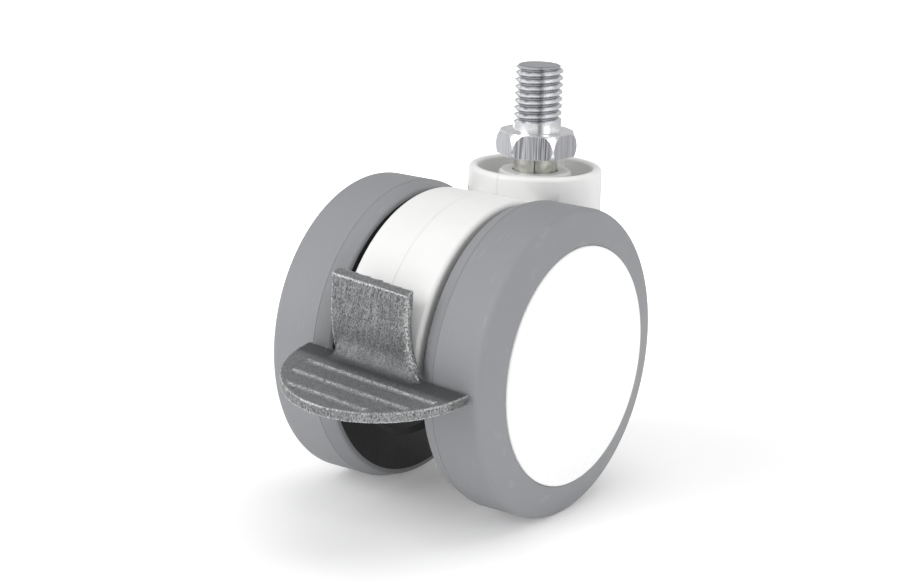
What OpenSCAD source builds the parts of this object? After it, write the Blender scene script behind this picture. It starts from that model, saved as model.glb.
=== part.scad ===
// Threaded stem castor with two wheels, a swivelling hood housing and a foot brake.
// Origin on the stem axis where the thread starts, +Z up the stem,
// wheel axle along X, pedal towards -Y. Sizes in millimetres.

/* [Stem] */
// Outside diameter of the stem thread
thread_diameter = 12; // [10:0.5:14]
// Length of the threaded stem above its plain neck
stem_length = 15.7; // [12:0.1:40]
// Chamfer at the tip of the stem
stem_chamfer = 0.8; // [0.4:0.1:1.2]
// Height of the plain neck between hexagon and thread
neck_height = 0.8; // [0.6:0.1:2]
// Size of the slope where the neck meets the hexagon
neck_slope = 0.3; // [0.2:0.05:0.5]
// Hexagon collar across flats
hex_across_flats = 17.8; // [17:0.1:20]
// Height of the hexagon collar
hex_height = 6; // [4:0.1:7]
// Fall of the hexagon's rounded corners at its two faces
hex_round = 0.95; // [0.6:0.05:1]
// Turn of the hexagon about the stem as it stands
hex_turn = 27.8; // [0:0.1:60]
// Diameter of the smooth journal below the hexagon
journal_diameter = 10.9; // [10:0.1:11.5]
// Length of journal that shows above the tower
journal_show = 3.95; // [3.5:0.05:8]
// Diameter of the thrust ball under the stem
thrust_ball_diameter = 6; // [5.6:0.1:6.4]
// Height of the thrust ball's middle above the wheel axle
thrust_ball_height = 11; // [10.8:0.1:11.4]
// Wall of the steel bush round the journal
bush_wall = 1.7; // [1.4:0.1:2]
// Height of the grip ring
ring_height = 1.2; // [1:0.1:1.3]
// Depth of the grip ring's groove in the journal
ring_groove = 1; // [0.8:0.1:1.2]

/* [Housing] */
// Distance of the stem axis behind the wheel axle
swivel_offset = 28; // [26:0.5:30]
// Height of the stem seat above the wheel axle
axle_drop = 49.5; // [48.5:0.1:51]
// Outside diameter of the hood about the axle
hood_diameter = 73; // [71:0.5:74]
// Width of the hood across both cheeks
hood_width = 23.6; // [22.6:0.1:24.4]
// Wall thickness of the hood and cheeks
hood_wall = 2.5; // [2:0.1:3]
// Depth of the hood's open edge below the axle
hood_skirt = 1.5; // [0:0.5:4]
// Outside diameter of the swivel tower
tower_diameter = 33.4; // [32.6:0.2:36]
// Diameter of the ring shaped recess in the tower
tower_recess = 28.6; // [27:0.2:29]
// Depth of the recess below the tower's rim
recess_depth = 9; // [5:0.5:12]
// Diameter of the round boss inside the recess
boss_diameter = 18.2; // [17.5:0.1:20]
// Distance of the boss top below the tower's rim
boss_sink = 1.1; // [0.5:0.1:2]
// Gap between the tower's overhanging sides and the tyres
tower_tyre_gap = 0.8; // [0.5:0.1:1.5]

/* [Wheels] */
// Diameter of each wheel on its tread
wheel_diameter = 75; // [74:0.5:76]
// Distance of the tyre's inner face from the middle of the castor
tyre_inner_x = 13.6; // [13:0.1:14]
// Width of the tyre over its tread
tyre_width = 16.6; // [16:0.1:18]
// Distance of the moulding seam from the tyre's inner face
seam_width = 3.8; // [3:0.1:5]
// Drop of the bevel between seam and inner face
seam_drop = 1.3; // [0.6:0.1:1.6]
// Radius of the shoulder of the tread
shoulder = 1.6; // [1:0.1:2]
// Diameter of the wheel's core inside the tyre
core_diameter = 50.8; // [50:0.2:52]
// Width of the tyre's bare ring outside the core's thin flange
tyre_lip = 2.5; // [2.2:0.1:6]
// Thickness of the core's thin flange over the tyre's inner face
flange_thickness = 0.8; // [0.6:0.1:1]
// Height of the ridge on the core that keys the tyre
key_height = 1.6; // [1:0.1:1.8]
// Diameter of the cap in the outer face
cap_diameter = 58; // [56:0.2:60]
// Distance that the cap's edge stands out from the tread's side
cap_stand = 2.6; // [2.4:0.1:3]
// Wall between the cap's plug and the core's rim
cap_inset = 1.8; // [1.4:0.1:2]
// Height of the cap's dome
cap_dome = 1; // [0.4:0.1:1.5]
// Number of ribs in each wheel core
rib_count = 8; // [6:1:12]

/* [Axle and bearings] */
// Diameter of the axle and bore of the bearings
axle_diameter = 8; // [7.5:0.1:8.2]
// Outside diameter of each ball bearing
bearing_diameter = 22; // [21.6:0.1:22.4]
// Width of each ball bearing
bearing_width = 7; // [6.6:0.1:7.2]
// Number of balls in each bearing
ball_count = 7; // [5:1:8]
// Diameter of the bearing balls
ball_diameter = 3.94; // [3.6:0.02:3.96]

/* [Brake] */
// Turn of the pedal from released to locked
pedal_travel = 20; // [14:1:20]
// Lift of the brake bar over the pedal's travel
bar_lift = 1.8; // [1.6:0.05:1.85]
// Number of teeth in each wheel's locking ring
lock_teeth = 36; // [36:12:36]
// Wall of the wheel core behind the locking teeth
rim_wall = 2.9; // [2.6:0.1:3.2]
// Height of the locking teeth
tooth_height = 2; // [1.8:0.1:2.2]
// Radius of the pedal's cam under the brake bar
cam_r = 9; // [8.6:0.1:9.2]
// Radius of the pedal's hub round the axle
pedal_hub_r = 6.8; // [6.7:0.05:6.9]
// Thickness of the detent leaf
leaf_thickness = 0.5; // [0.3:0.05:0.6]
// Width of the detent leaf
leaf_width = 5; // [4:0.5:6]
// Turns of the brake return spring
spring_turns = 5; // [4:1:6]

/* [Pedal] */
// Width of the pedal's upright plate at its top
plate_width = 22.2; // [20:0.2:23]
// Height of the upright plate above the axle
plate_top = 22.9; // [18:0.1:26]
// Thickness of the upright plate
plate_thickness = 2.4; // [2:0.1:3]
// Angle that the plate leans back
plate_lean = 5.9; // [0:0.1:8]
// Sideways drift of the plate's left edge from top to foot, as cast
plate_drift = 2.8; // [0:0.1:3]
// How far the plate's right edge runs out into the foot, as cast
plate_flare = 5.2; // [2:0.1:6]
// Fall of the plate's top from back to front
top_slope = 1.3; // [0.5:0.1:2]
// Half width of the foot
foot_half_width = 22.9; // [20:0.1:28]
// Reach of the foot in front of the plate's back face
foot_reach = 27.2; // [20:0.1:30]
// Thickness of the foot
foot_thickness = 2.6; // [2:0.1:4]
// Sideways offset of the foot, as cast
foot_offset = 5.3; // [0:0.1:6]
// Sideways tilt of the foot, as cast
foot_roll = 4.7; // [0:0.1:5]
// Downward pitch of the foot towards its front
foot_pitch = 4.8; // [0:0.1:10]
// Height of the foot's back edge above the axle
foot_height = 3; // [1:0.1:5]
// Gap between the foot and the tread behind it
foot_gap = 0.9; // [0.6:0.1:2]
// Height of the grip ridges on the foot
ridge_height = 0.7; // [0.4:0.1:1]
// Spacing of the grip ridges
ridge_step = 6.5; // [5:0.1:7]

/* [Fits] */
// Radial clearance of running fits
running_fit = 0.05; // [0.03:0.01:0.08]
// Clearance around the brake bar in its windows
slide_gap = 0.15; // [0.1:0.01:0.25]

/* [Hidden] */
$fn = 96;
wheel_r = wheel_diameter / 2;
axle_r = axle_diameter / 2;
journal_r = journal_diameter / 2;
hood_r = hood_diameter / 2;
half_hood = hood_width / 2;
cheek_in = half_hood - hood_wall;
tower_r = tower_diameter / 2;
boss_r = boss_diameter / 2;
hex_top = -neck_height;
hex_base = hex_top - hex_height;
rim_z = hex_base - journal_show + boss_sink;
boss_top = rim_z - boss_sink;
thrust_r = thrust_ball_diameter / 2;
ball_z = -axle_drop + thrust_ball_height;
stem_foot = ball_z + thrust_r + 0.02;
bush_r = journal_r + bush_wall;
bush_z0 = stem_foot + 4;
bush_z1 = boss_top - 1.5;
ring_z = bush_z0 - ring_height - 0.4;
core_r = core_diameter / 2;
flange_r = wheel_r - tyre_lip;
lock_root_r = core_r - rim_wall;
lock_tip_r = lock_root_r - tooth_height;
tread_x1 = tyre_inner_x + tyre_width;
cap_r = cap_diameter / 2;
core_out = tread_x1 + 0.2;
web_out = core_out - 1.8;
flange_x = web_out - 1.5;
brg_x1 = web_out - 1.6;
brg_x0 = brg_x1 - bearing_width;
brg_mid = (brg_x0 + brg_x1) / 2;
brg_r = bearing_diameter / 2;
pitch_r = (brg_r + axle_r) / 2;
race_in = pitch_r - 1.7;
race_out = pitch_r + 1.8;
hub_r = brg_r + 2.5;
boss_out = axle_r + 2.5;
cheek_disc_r = axle_r + 8;
cam_rate = bar_lift / (pedal_travel * PI / 180);
nose_r = 1;
nose_z = cam_r + nose_r / cos(atan(cam_rate / cam_r)) + 0.06;
bar_z0 = nose_z + 2.8;
bar_z1 = bar_z0 + 4.5;
bar_half_y = 4.9;
bar_tip_r = lock_root_r - 0.9;
bar_tooth_x0 = tyre_inner_x + 1.3;
bar_end = brg_x0 - 2;
flange_x0 = tyre_inner_x + flange_thickness;
key_x0 = tyre_inner_x + 5;
key_x1 = tyre_inner_x + 10;
key_r = core_r + key_height;
cap_face = tread_x1 + cap_stand;
plug_r = core_r - cap_inset;
leaf_y = pedal_hub_r + 0.9;
leaf_back = leaf_y + leaf_thickness;
lock_x0 = tyre_inner_x + 1;
lock_x1 = brg_x0 - 0.5;
seat_z = bar_z1 + 8.5;
pedal_half = cheek_in - 0.3;
plate_back = -(wheel_r + foot_gap);
plate_face = plate_back - plate_thickness;
tooth_step = 360 / lock_teeth;
housing_white = [0.93, 0.93, 0.92];
tyre_grey = [0.53, 0.53, 0.55];
core_black = [0.12, 0.12, 0.13];
zinc = [0.78, 0.79, 0.8];
casting = [0.5, 0.51, 0.52];
steel = [0.66, 0.67, 0.69];

// Places children with the axle's middle as their origin
module at_axle() {
    translate([0, -swivel_offset, -axle_drop]) children();
}

// Turns a profile of x and radius about the axle line
module about_axle() {
    rotate([90, 0, 90]) rotate_extrude() rotate(-90) mirror([1, 0]) children();
}

// Extrudes a side view of y and z along X between two planes
module along_x(x0, x1) {
    translate([x0, 0, 0]) rotate([90, 0, 90]) linear_extrude(x1 - x0) children();
}

// Quarter arc as points, from angle a0 to a1 about a centre
function arc_points(cx, cy, r, a0, a1, steps) =
    [for (i = [0:steps]) [cx + r * cos(a0 + (a1 - a0) * i / steps), cy + r * sin(a0 + (a1 - a0) * i / steps)]];

// Stem
module stem() color(zinc) {
    difference() {
        union() {
            rotate_extrude() polygon([[0, stem_foot], [journal_r - 1, stem_foot], [journal_r, stem_foot + 1],
                [journal_r, hex_base + 0.1], [0, hex_base + 0.1]]);
            intersection() {
                rotate([0, 0, hex_turn]) translate([0, 0, hex_base])
                    cylinder(r = hex_across_flats / sqrt(3), h = hex_height, $fn = 6);
                hex_chamfers();
            }
            neck();
            thread_core();
        }
        translate([0, 0, ring_z - 0.1]) difference() {
            cylinder(r = journal_r + 2, h = ring_height + 0.2);
            translate([0, 0, -1]) cylinder(r = journal_r - ring_groove, h = ring_height + 3);
        }
    }
}

// Barrel that rounds the hexagon's corners
module hex_chamfers() {
    r = hex_across_flats / sqrt(3) - 0.15;
    half = hex_height / 2;
    arc_r = (half * half + hex_round * hex_round) / (2 * hex_round);
    reach = asin(half / arc_r);
    rotate_extrude() polygon(concat([[0, hex_base]],
        arc_points(r - arc_r, hex_base + half, arc_r, -reach, reach, 14), [[0, hex_top]]));
}

// Plain neck between the hexagon's top and the thread
module neck() {
    r = thread_diameter / 2;
    rotate_extrude() polygon([[0, hex_top - 0.5], [r + neck_slope, hex_top - 0.5], [r + neck_slope, hex_top],
        [r, hex_top + neck_slope], [r, 0.1], [0, 0.1]]);
}

// Cylinder over the thread's crests
module thread_core() {
    r = thread_diameter / 2;
    rotate_extrude() polygon([[0, 0], [r, 0], [r, stem_length - stem_chamfer],
        [r - stem_chamfer, stem_length], [0, stem_length]]);
}

// Open spring ring that keeps the stem in the housing
module grip_ring() color(steel) {
    translate([0, 0, ring_z]) difference() {
        cylinder(r = journal_r + 0.7, h = ring_height);
        translate([0, 0, -1]) cylinder(r = journal_r - ring_groove + 0.1, h = ring_height + 3);
        translate([-1, 0, -1]) cube([2, journal_r + 2, ring_height + 3]);
    }
}

// Ball that carries the load under the stem
module thrust_ball() color(steel) {
    translate([0, 0, ball_z]) sphere(r = thrust_r);
}

// Steel sleeve the stem turns in
module swivel_bush() color(steel) {
    translate([0, 0, bush_z0]) difference() {
        cylinder(r = bush_r, h = bush_z1 - bush_z0);
        translate([0, 0, -1]) cylinder(r = journal_r + running_fit, h = bush_z1 - bush_z0 + 2);
    }
}

// Housing
module housing() color(housing_white) {
    difference() {
        union() {
            hood();
            tower_shell();
            stem_column();
        }
        stem_pocket();
    }
}

// Hood with its two cheeks, axle bosses and inner ribs
module hood() {
    at_axle() difference() {
        union() {
            difference() {
                hood_block();
                hood_hollow();
            }
            for (s = [-1, 1]) {
                along_x(min(s * cheek_in, s * half_hood), max(s * cheek_in, s * half_hood))
                    circle(r = cheek_disc_r);
                along_x(min(s * cheek_in, s * brg_x0), max(s * cheek_in, s * brg_x0)) circle(r = boss_out);
            }
            translate([-cheek_in - 0.5, -5, seat_z]) cube([2 * cheek_in + 1, 10, 2.4]);
            translate([-cheek_in - 0.5, leaf_back, 10]) cube([2 * cheek_in + 1, 2, 7]);
            translate([0, 0, seat_z - 2.5]) cylinder(r = 2, h = 3);
        }
        along_x(-brg_x0 - 1, brg_x0 + 1) circle(r = axle_r);
        bar_windows();
        arm_slot();
    }
}

// Solid outline of the hood before it is hollowed
module hood_block() {
    edge = 1.2;
    intersection() {
        about_axle() polygon(concat([[-half_hood, 0]],
            arc_points(-half_hood + edge, hood_r - edge, edge, 180, 90, 5),
            arc_points(half_hood - edge, hood_r - edge, edge, 90, 0, 5), [[half_hood, 0]]));
        translate([-half_hood - 1, -hood_r - 1, -hood_skirt])
            cube([hood_width + 2, 2 * hood_r + 2, hood_r + hood_skirt + 2]);
    }
}

// Space between the cheeks under the hood
module hood_hollow() {
    along_x(-cheek_in, cheek_in) circle(r = hood_r - hood_wall);
}

// Windows in both cheeks for the brake bar
module bar_windows() {
    w = bar_half_y + slide_gap;
    for (s = [-1, 1]) translate([s * (cheek_in + half_hood) / 2 - hood_wall, -w, bar_z0 - slide_gap])
        cube([2 * hood_wall, 2 * w, bar_tip_r - bar_z0 + 0.6]);
}

// Slot in the hood's front for the pedal's arm
module arm_slot() {
    translate([-4.4, -hood_r - 2, -hood_skirt - 2]) cube([8.8, 2 * hood_wall + 2, hood_skirt + 9.4]);
}

// Round tower, cut clear of both tyres
module tower_shell() {
    difference() {
        translate([0, 0, rim_z]) rotate_extrude() polygon(concat([[tower_recess / 2, -recess_depth]],
            [[tower_recess / 2, -0.9]],
            arc_points(tower_recess / 2 + 0.9, -0.9, 0.9, 180, 90, 4),
            arc_points(tower_r - 1.1, -1.1, 1.1, 90, 0, 4),
            [[tower_r + 0.15, -16], [0, -16], [0, -recess_depth]]));
        at_axle() for (s = [-1, 1])
            along_x(min(s * (half_hood - 0.01), s * 30), max(s * (half_hood - 0.01), s * 30))
                circle(r = wheel_r + tower_tyre_gap);
        at_axle() hood_hollow();
    }
}

// Column around the stem from the boss down to the ball's seat
module stem_column() {
    z0 = ball_z - thrust_r - 1.5;
    rotate_extrude() polygon([[0, z0], [boss_r - 1.5, z0], [boss_r, z0 + 1.5], [boss_r, boss_top - 0.6],
        [boss_r - 0.6, boss_top], [0, boss_top]]);
}

// Stepped bore for the stem, its bush, ring and ball
module stem_pocket() {
    rotate_extrude() polygon([[0, ball_z - thrust_r], [thrust_r + running_fit, ball_z - thrust_r],
        [thrust_r + running_fit, stem_foot - 1.2], [journal_r + 0.9, stem_foot - 1.2], [journal_r + 0.9, bush_z0],
        [bush_r, bush_z0], [bush_r, bush_z1], [journal_r + 0.3, bush_z1], [journal_r + 0.3, boss_top + 1],
        [0, boss_top + 1]]);
}

// Axle pin with a groove at each end
module axle() color(steel) {
    at_axle() about_axle() polygon([[-web_out - 0.6, 0], [-web_out - 0.6, axle_r - 0.5],
        [-web_out - 0.1, axle_r], [-brg_x1 - 1, axle_r], [-brg_x1 - 1, axle_r - 0.6], [-brg_x1, axle_r - 0.6],
        [-brg_x1, axle_r], [brg_x1, axle_r], [brg_x1, axle_r - 0.6], [brg_x1 + 1, axle_r - 0.6],
        [brg_x1 + 1, axle_r], [web_out + 0.1, axle_r], [web_out + 0.6, axle_r - 0.5], [web_out + 0.6, 0]]);
}

// Open clip in an axle groove
module axle_clip() {
    translate([brg_x1, 0, 0]) rotate([90, 0, 90]) difference() {
        cylinder(r = axle_r + 2, h = 0.9);
        translate([0, 0, -1]) cylinder(r = axle_r - 0.6, h = 4);
        translate([-axle_r + 1.2, 0, -1]) cube([2 * axle_r - 2.4, axle_r + 3, 4]);
    }
}

module axle_clip_left() color(steel) at_axle() mirror([1, 0, 0]) axle_clip();

module axle_clip_right() color(steel) at_axle() axle_clip();

// Grey tyre moulded round the core
module tyre() {
    about_axle() polygon(concat([[flange_x0, core_r], [flange_x0, flange_r], [tyre_inner_x, flange_r],
        [tyre_inner_x, wheel_r - seam_drop],
        [tyre_inner_x + seam_width, wheel_r]],
        arc_points(tread_x1 - shoulder, wheel_r - shoulder, shoulder, 90, 15, 5),
        [[tread_x1 + 1.9, cap_r + 0.6], [tread_x1 + 1.7, cap_r + 0.1], [core_out, cap_r + 0.1],
        [flange_x, cap_r + 0.1], [flange_x, core_r], [key_x1, core_r], [key_x1 - 1, key_r],
        [key_x0 + 1, key_r], [key_x0, core_r]]));
}

module tyre_left() color(tyre_grey) at_axle() mirror([1, 0, 0]) tyre();

module tyre_right() color(tyre_grey) at_axle() tyre();

// Core with rim, web, ribs, hub and locking ring
module wheel_core() {
    about_axle() polygon([[lock_x0, lock_root_r], [lock_x0, core_r - 0.4], [tyre_inner_x, core_r + 0.9],
        [tyre_inner_x, flange_r], [flange_x0, flange_r], [flange_x0, core_r], [key_x0, core_r],
        [key_x0 + 1, key_r], [key_x1 - 1, key_r], [key_x1, core_r],
        [flange_x, core_r], [flange_x, cap_r + 0.1], [core_out, cap_r + 0.1], [core_out, core_r],
        [web_out, core_r], [web_out, race_out + 0.4], [brg_x1, race_out + 0.4], [brg_x1, brg_r],
        [brg_x0, brg_r], [brg_x0, hub_r], [web_out - 2, hub_r], [web_out - 2, lock_root_r + 0.5],
        [lock_x1, lock_root_r + 0.5], [lock_x1, lock_root_r]]);
    for (i = [0:rib_count - 1]) rotate([i * 360 / rib_count, 0, 0])
        translate([brg_x0 + 1, -1, hub_r - 0.5]) cube([web_out - brg_x0 - 2, 2, lock_root_r - hub_r + 1.8]);
    for (i = [0:lock_teeth - 1]) rotate([(i + 0.5) * tooth_step, 0, 0]) along_x(lock_x0, lock_x1)
        polygon([[-1, lock_root_r + 0.3], [-0.65, lock_tip_r], [0.65, lock_tip_r], [1, lock_root_r + 0.3]]);
}

module wheel_core_left() color(core_black) at_axle() mirror([1, 0, 0]) wheel_core();

module wheel_core_right() color(core_black) at_axle() wheel_core();

// Smooth domed cap with a skirt that plugs into the core
module wheel_cap() {
    about_axle() polygon([[core_out, 0], [core_out, plug_r], [web_out + 0.1, plug_r],
        [web_out + 0.1, core_r], [core_out, core_r], [core_out, cap_r], [cap_face - 0.7, cap_r],
        [cap_face - 0.3, cap_r - 0.15], [cap_face, cap_r - 0.7], [cap_face + 0.1, cap_r - 2],
        [cap_face + cap_dome * 0.45, cap_r * 0.75], [cap_face + cap_dome * 0.8, cap_r * 0.5],
        [cap_face + cap_dome * 0.95, cap_r * 0.25], [cap_face + cap_dome, 0]]);
}

module wheel_cap_left() color(housing_white) at_axle() mirror([1, 0, 0]) wheel_cap();

module wheel_cap_right() color(housing_white) at_axle() wheel_cap();

// Groove both bearing rings run their balls in
module race() {
    translate([brg_mid, 0, 0]) rotate([0, 90, 0]) rotate_extrude() translate([pitch_r, 0])
        circle(r = ball_diameter / 2 + running_fit);
}

module bearing_outer() {
    difference() {
        along_x(brg_x0, brg_x1) difference() {
            circle(r = brg_r);
            circle(r = race_out);
        }
        race();
    }
}

module bearing_inner() {
    difference() {
        along_x(brg_x0, brg_x1) difference() {
            circle(r = race_in);
            circle(r = axle_r);
        }
        race();
    }
}

module bearing_balls() {
    for (i = [0:ball_count - 1]) rotate([i * 360 / ball_count, 0, 0]) translate([brg_mid, 0, pitch_r])
        sphere(r = ball_diameter / 2);
}

module bearing_cage() {
    difference() {
        along_x(brg_mid - 2.4, brg_mid + 2.4) difference() {
            circle(r = pitch_r + 0.6);
            circle(r = pitch_r - 0.6);
        }
        for (i = [0:ball_count - 1]) rotate([i * 360 / ball_count, 0, 0]) translate([brg_mid, 0, pitch_r])
            sphere(r = ball_diameter / 2 + 0.06);
    }
}

module bearing_outer_left() color(steel) at_axle() mirror([1, 0, 0]) bearing_outer();

module bearing_outer_right() color(steel) at_axle() bearing_outer();

module bearing_inner_left() color(steel) at_axle() mirror([1, 0, 0]) bearing_inner();

module bearing_inner_right() color(steel) at_axle() bearing_inner();

module bearing_balls_left() color(zinc) at_axle() mirror([1, 0, 0]) bearing_balls();

module bearing_balls_right() color(zinc) at_axle() bearing_balls();

module bearing_cage_left() color(core_black) at_axle() mirror([1, 0, 0]) bearing_cage();

module bearing_cage_right() color(core_black) at_axle() bearing_cage();

// Pedal
module brake_pedal() color(casting) {
    at_axle() {
        difference() {
            union() {
                along_x(-pedal_half, pedal_half) circle(r = pedal_hub_r);
                along_x(-4, 4) polygon(cam_points());
                pedal_arm();
            }
            along_x(-pedal_half - 1, pedal_half + 1) circle(r = axle_r + running_fit);
            for (a = [0, -pedal_travel]) rotate([a, 0, 0]) along_x(-3, 3)
                translate([pedal_hub_r + 0.3, 0]) circle(r = 0.8);
        }
        pedal_plate();
        pedal_foot();
    }
}

// Spiral cam that lifts the bar in step with the pedal
function cam_points() = concat([[0, 0], [-6, 0]],
    [for (a = [-40:4:-12]) [(cam_r - cam_rate * 12 * PI / 180) * sin(a), (cam_r - cam_rate * 12 * PI / 180) * cos(a)]],
    [for (a = [-10:2:30]) [(cam_r + cam_rate * a * PI / 180) * sin(a), (cam_r + cam_rate * a * PI / 180) * cos(a)]],
    [[6.8, 6.5], [6.6, 0]]);

// Arm from the hub through the hood's slot to the plate
module pedal_arm() {
    along_x(-4, 4) polygon([[0, -4], [-6, -3.2], [plate_back - 0.5, -0.5], [plate_back - 0.5, 6.2],
        [-30, 6.4], [-6, 6.4], [0, 6]]);
}

// Height of the foot's top above its middle, at a distance from the castor's middle
function foot_top(x) = -(x - foot_offset) * tan(foot_roll);

// Upright plate, leaning back, its top edge in line with the tilted foot
module pedal_plate() {
    left = -plate_width / 2 - 0.4;
    right = plate_width / 2 - 0.4;
    h = plate_top - foot_height;
    tip = h + 2;
    translate([0, plate_back, foot_height]) rotate([-plate_lean, 0, 0]) difference() {
        rotate([90, 0, 0]) linear_extrude(plate_thickness) polygon([[left, tip], [left + 0.25 * plate_drift, 11],
            [left + 0.6 * plate_drift, 6], [left + plate_drift, 2.2], [left + plate_drift + 0.4, -1],
            [right + plate_flare, foot_top(right + plate_flare) - 1.2],
            [right + plate_flare, foot_top(right + plate_flare) + 0.2],
            [right + 0.75 * plate_flare, foot_top(right) + 1.6], [right + 0.5 * plate_flare, 3.2],
            [right + 0.28 * plate_flare, 5.6], [right + 0.1 * plate_flare, 10], [right, tip]]);
        translate([0, 0, h]) rotate([0, foot_roll, 0]) rotate([atan(top_slope / plate_thickness), 0, 0])
            translate([-20, -15, 0]) cube([40, 30, 10]);
    }
}

// Foot with its hollow fillet and three ridges, tilted as cast
module pedal_foot() {
    r = 3;
    translate([foot_offset, plate_back, foot_height]) rotate([foot_pitch, 0, 0]) rotate([0, foot_roll, 0]) {
        translate([0, 0, -foot_thickness]) linear_extrude(foot_thickness) foot_outline(0);
        along_x(-plate_width / 2 + plate_drift - foot_offset, plate_width / 2 + plate_flare - 2.4 - foot_offset)
            polygon(concat([[-0.6, -1], [-plate_thickness - r, -1]],
                arc_points(-plate_thickness - r, r, r, -90, -8, 6), [[-plate_thickness + 0.2, r], [-0.6, r]]));
        intersection() {
            translate([0, 0, -0.1]) linear_extrude(ridge_height + 0.1) foot_outline(1);
            for (i = [0:2]) translate([0, -9.2 - i * ridge_step, -0.1]) along_x(-16 + i, 30)
                polygon([[-0.9, 0], [-0.45, ridge_height], [0.45, ridge_height], [0.9, 0]]);
        }
    }
}

// Half oval of the foot, optionally set in from its edge
module foot_outline(inset) {
    w = foot_half_width - inset;
    polygon([for (i = [0:36]) [w * cos(180 + i * 5), (foot_reach - inset) * sin(180 + i * 5)]]);
}

// Brake bar
module brake_bar() color(casting) {
    at_axle() {
        translate([-bar_end, -bar_half_y, bar_z0]) cube([2 * bar_end, 2 * bar_half_y, bar_z1 - bar_z0]);
        along_x(-3.8, 3.8) polygon(concat([[1, bar_z0 + 0.5]], arc_points(0, nose_z, nose_r, 0, -180, 12),
            [[-1, bar_z0 + 0.5]]));
        for (s = [-1, 1]) for (a = [-tooth_step, 0, tooth_step]) translate([0, 0, -bar_lift])
            rotate([a, 0, 0]) along_x(min(s * bar_tooth_x0, s * bar_end), max(s * bar_tooth_x0, s * bar_end))
                polygon([[-0.95, bar_z1 + bar_lift - 0.6], [-0.95, bar_z1 + bar_lift + 0.4], [-0.6, bar_tip_r],
                    [0.6, bar_tip_r], [0.95, bar_z1 + bar_lift + 0.4], [0.95, bar_z1 + bar_lift - 0.6]]);
        translate([0, 0, bar_z1 - 0.1]) cylinder(r = 2, h = 1.6);
    }
}

// Coil spring between the bar and the housing's seat
module brake_spring() color(steel) {
    r = 2.9;
    wire = 0.45;
    sides = 8;
    per_turn = 20;
    n = spring_turns * per_turn;
    rise = seat_z - bar_z1 - 2 * wire;
    points = [for (i = [0:n]) for (k = [0:sides - 1])
        let (a = i * 360 / per_turn, b = k * 360 / sides)
        [(r + wire * cos(b)) * cos(a), (r + wire * cos(b)) * sin(a), wire * sin(b) + rise * i / n]];
    side_faces = [for (i = [0:n - 1]) for (k = [0:sides - 1])
        [i * sides + k, i * sides + (k + 1) % sides, (i + 1) * sides + (k + 1) % sides, (i + 1) * sides + k]];
    start_face = [for (k = [sides - 1:-1:0]) k];
    end_face = [for (k = [0:sides - 1]) n * sides + k];
    at_axle() translate([0, 0, bar_z1 + wire])
        polyhedron(points = points, faces = concat([start_face, end_face], side_faces));
}

// Leaf that clicks into the pedal hub's notches
module detent_spring() color(steel) {
    nib_y = pedal_hub_r + running_fit;
    nib_back = nib_y + leaf_thickness + 0.05;
    at_axle() along_x(-leaf_width / 2, leaf_width / 2) polygon([[leaf_back, 16], [leaf_y, 16], [leaf_y, 1.6],
        [nib_y, 0.5], [nib_y, -0.5], [leaf_y, -1.6], [leaf_y, -5], [leaf_back, -5], [leaf_back, -1.4],
        [nib_back, -0.3], [nib_back, 0.3], [leaf_back, 1.4]]);
}

/* [Output] */
// Sub-part to build

stem();
grip_ring();
thrust_ball();
swivel_bush();
housing();
axle();
axle_clip_left();
axle_clip_right();
tyre_left();
tyre_right();
wheel_core_left();
wheel_core_right();
wheel_cap_left();
wheel_cap_right();
bearing_outer_left();
bearing_outer_right();
bearing_inner_left();
bearing_inner_right();
bearing_balls_left();
bearing_balls_right();
bearing_cage_left();
bearing_cage_right();
brake_pedal();
brake_bar();
brake_spring();
detent_spring();
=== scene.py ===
import math

import bmesh
import bpy
from mathutils import Matrix, Vector, geometry, noise


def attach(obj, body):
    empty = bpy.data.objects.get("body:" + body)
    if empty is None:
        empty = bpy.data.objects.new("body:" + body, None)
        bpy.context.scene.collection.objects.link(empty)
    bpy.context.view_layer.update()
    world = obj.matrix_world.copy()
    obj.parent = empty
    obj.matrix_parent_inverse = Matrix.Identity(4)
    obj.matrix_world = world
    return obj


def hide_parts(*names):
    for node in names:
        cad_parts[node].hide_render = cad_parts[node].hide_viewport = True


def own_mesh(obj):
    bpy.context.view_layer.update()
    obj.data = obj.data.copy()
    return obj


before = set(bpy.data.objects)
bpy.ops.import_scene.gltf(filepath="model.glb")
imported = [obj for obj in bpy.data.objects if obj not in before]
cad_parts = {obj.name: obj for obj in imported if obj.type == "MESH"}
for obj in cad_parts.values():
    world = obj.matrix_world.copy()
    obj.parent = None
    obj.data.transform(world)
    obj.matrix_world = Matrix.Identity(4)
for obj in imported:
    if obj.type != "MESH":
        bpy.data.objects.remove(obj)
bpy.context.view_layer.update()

# Camera
# The view of the photograph: from the front right and a little above, with the
# picture level turned slightly, aimed so that the wheel axle falls where it does there.
MM = 0.001
axle_middle = Vector((0, -28, -49.5)) * MM
picture = (900, 584)
axle_in_picture = (465.0, 341.1)
turn = math.radians(35.2)
height = math.radians(14.75)
roll = math.radians(1.96)
distance = 545.6 * MM
focal_pixels = 2231.3

back = Vector((math.sin(turn) * math.cos(height), -math.cos(turn) * math.cos(height), math.sin(height)))
level = Vector((math.cos(turn), math.sin(turn), 0))
rise = back.cross(level)
right = level * math.cos(roll) + rise * math.sin(roll)
up = rise * math.cos(roll) - level * math.sin(roll)
off_right = (axle_in_picture[0] - picture[0] / 2) / focal_pixels * distance
off_down = (axle_in_picture[1] - picture[1] / 2) / focal_pixels * distance
camera_data = bpy.data.cameras.new("camera")
camera_data.lens = focal_pixels / picture[0] * camera_data.sensor_width
camera_data.dof.use_dof = False
camera = bpy.data.objects.new("camera", camera_data)
bpy.context.scene.collection.objects.link(camera)
standpoint = axle_middle + back * distance - right * off_right + up * off_down
camera.matrix_world = Matrix.Translation(standpoint) @ Matrix((right, up, back)).transposed().to_4x4()
bpy.context.scene.camera = camera

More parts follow.
